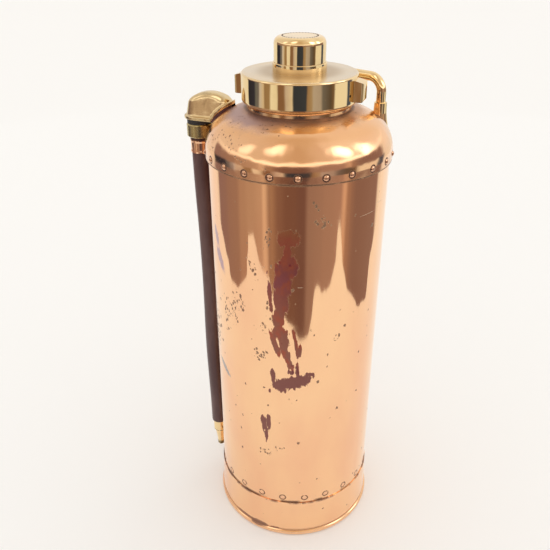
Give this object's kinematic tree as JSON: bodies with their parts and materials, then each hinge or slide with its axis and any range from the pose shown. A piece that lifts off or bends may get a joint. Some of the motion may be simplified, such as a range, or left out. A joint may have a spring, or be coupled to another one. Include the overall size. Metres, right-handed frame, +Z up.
{
  "type": "fire extinguisher",
  "caption": "Upright copper and brass soda-acid fire extinguisher with a riveted domed tank, screwed cap with a strike knob, carrying handle and a short side hose with a nozzle.",
  "frame": {"origin": "centre of the foot on the floor, on the tank's axis", "axes": "+Z up along the tank's axis, -X towards the outlet elbow and the hose, +Y towards the back"},
  "size_m": [0.2137, 0.186, 0.551],
  "materials": {
    "copper_body": "polished copper, worn and lightly stained",
    "copper_trim": "polished copper",
    "brass_polished": "polished brass",
    "brass_cast": "cast brass, dulled",
    "brass_dull": "plain turned brass",
    "steel": "plain steel",
    "rubber_hose": "woven-faced maroon rubber",
    "rubber_black": "black rubber",
    "gasket": "dark red fibre and rubber",
    "glass": "clear glass"
  },
  "bodies": {
    "shell": {"body_cylinder": "copper_body", "dome": "copper_body", "dome_rivets": "copper_trim", "base_skirt": "copper_body", "foot_bead_wire": "steel", "bottom_end": "copper_trim", "bottom_rivets": "copper_trim", "neck_collar": "brass_dull", "outlet_elbow": "brass_cast", "elbow_gasket": "gasket", "saddle_washer": "brass_dull", "elbow_backnut": "brass_dull", "dip_tube": "brass_dull", "dip_strainer": "brass_dull", "cage_ring": "brass_dull", "cage_straps": "brass_dull", "cage_cup": "brass_dull", "bottle_pad": "rubber_black", "acid_bottle": "glass", "handle_rod": "brass_polished", "handle_foot_left": "brass_polished", "handle_foot_right": "brass_polished", "handle_pins": "brass_dull", "hose_washer": "rubber_black", "tail_washer": "gasket", "hose_tail": "brass_dull", "upper_ferrule": "copper_trim", "hose": "rubber_hose", "nozzle_holder": "brass_polished", "nozzle": "brass_polished"},
    "hose_union": {"hose_nut": "brass_cast"},
    "washer": {"cap_washer": "gasket"},
    "cap": {"head_cap": "brass_polished", "knob_collar": "brass_polished", "gland_packing": "gasket", "gland_nut": "brass_dull", "return_spring": "steel"},
    "striker": {"strike_knob": "brass_polished", "plunger_pin": "steel", "plunger_rod": "brass_dull", "plunger_head": "brass_dull"}
  },
  "joints": [
    {"name": "cap_lift", "type": "slide", "parent": "shell", "child": "washer", "axis": [0, 0, 1], "range_m": [0, 0.0159]},
    {"name": "cap_turn", "type": "hinge", "parent": "washer", "child": "cap", "pos_m": [0, 0, 0.5], "axis": [0, 0, 1], "range_deg": [0, 1800]},
    {"name": "knob_strike", "type": "slide", "parent": "cap", "child": "striker", "axis": [0, 0, -1], "range_m": [0, 0.018], "stiffness_N_per_m": 600, "springref_m": -0.01, "deforming": ["return_spring"]},
    {"name": "hose_nut_turn", "type": "hinge", "parent": "shell", "child": "hose_union", "pos_m": [-0.1057, 0, 0.456], "axis": [0, 0, 1], "continuous": true}
  ],
  "couplings": [
    {"joint": "cap_lift", "follows": "cap_turn", "m_per_rad": 0.00050532}
  ]
}
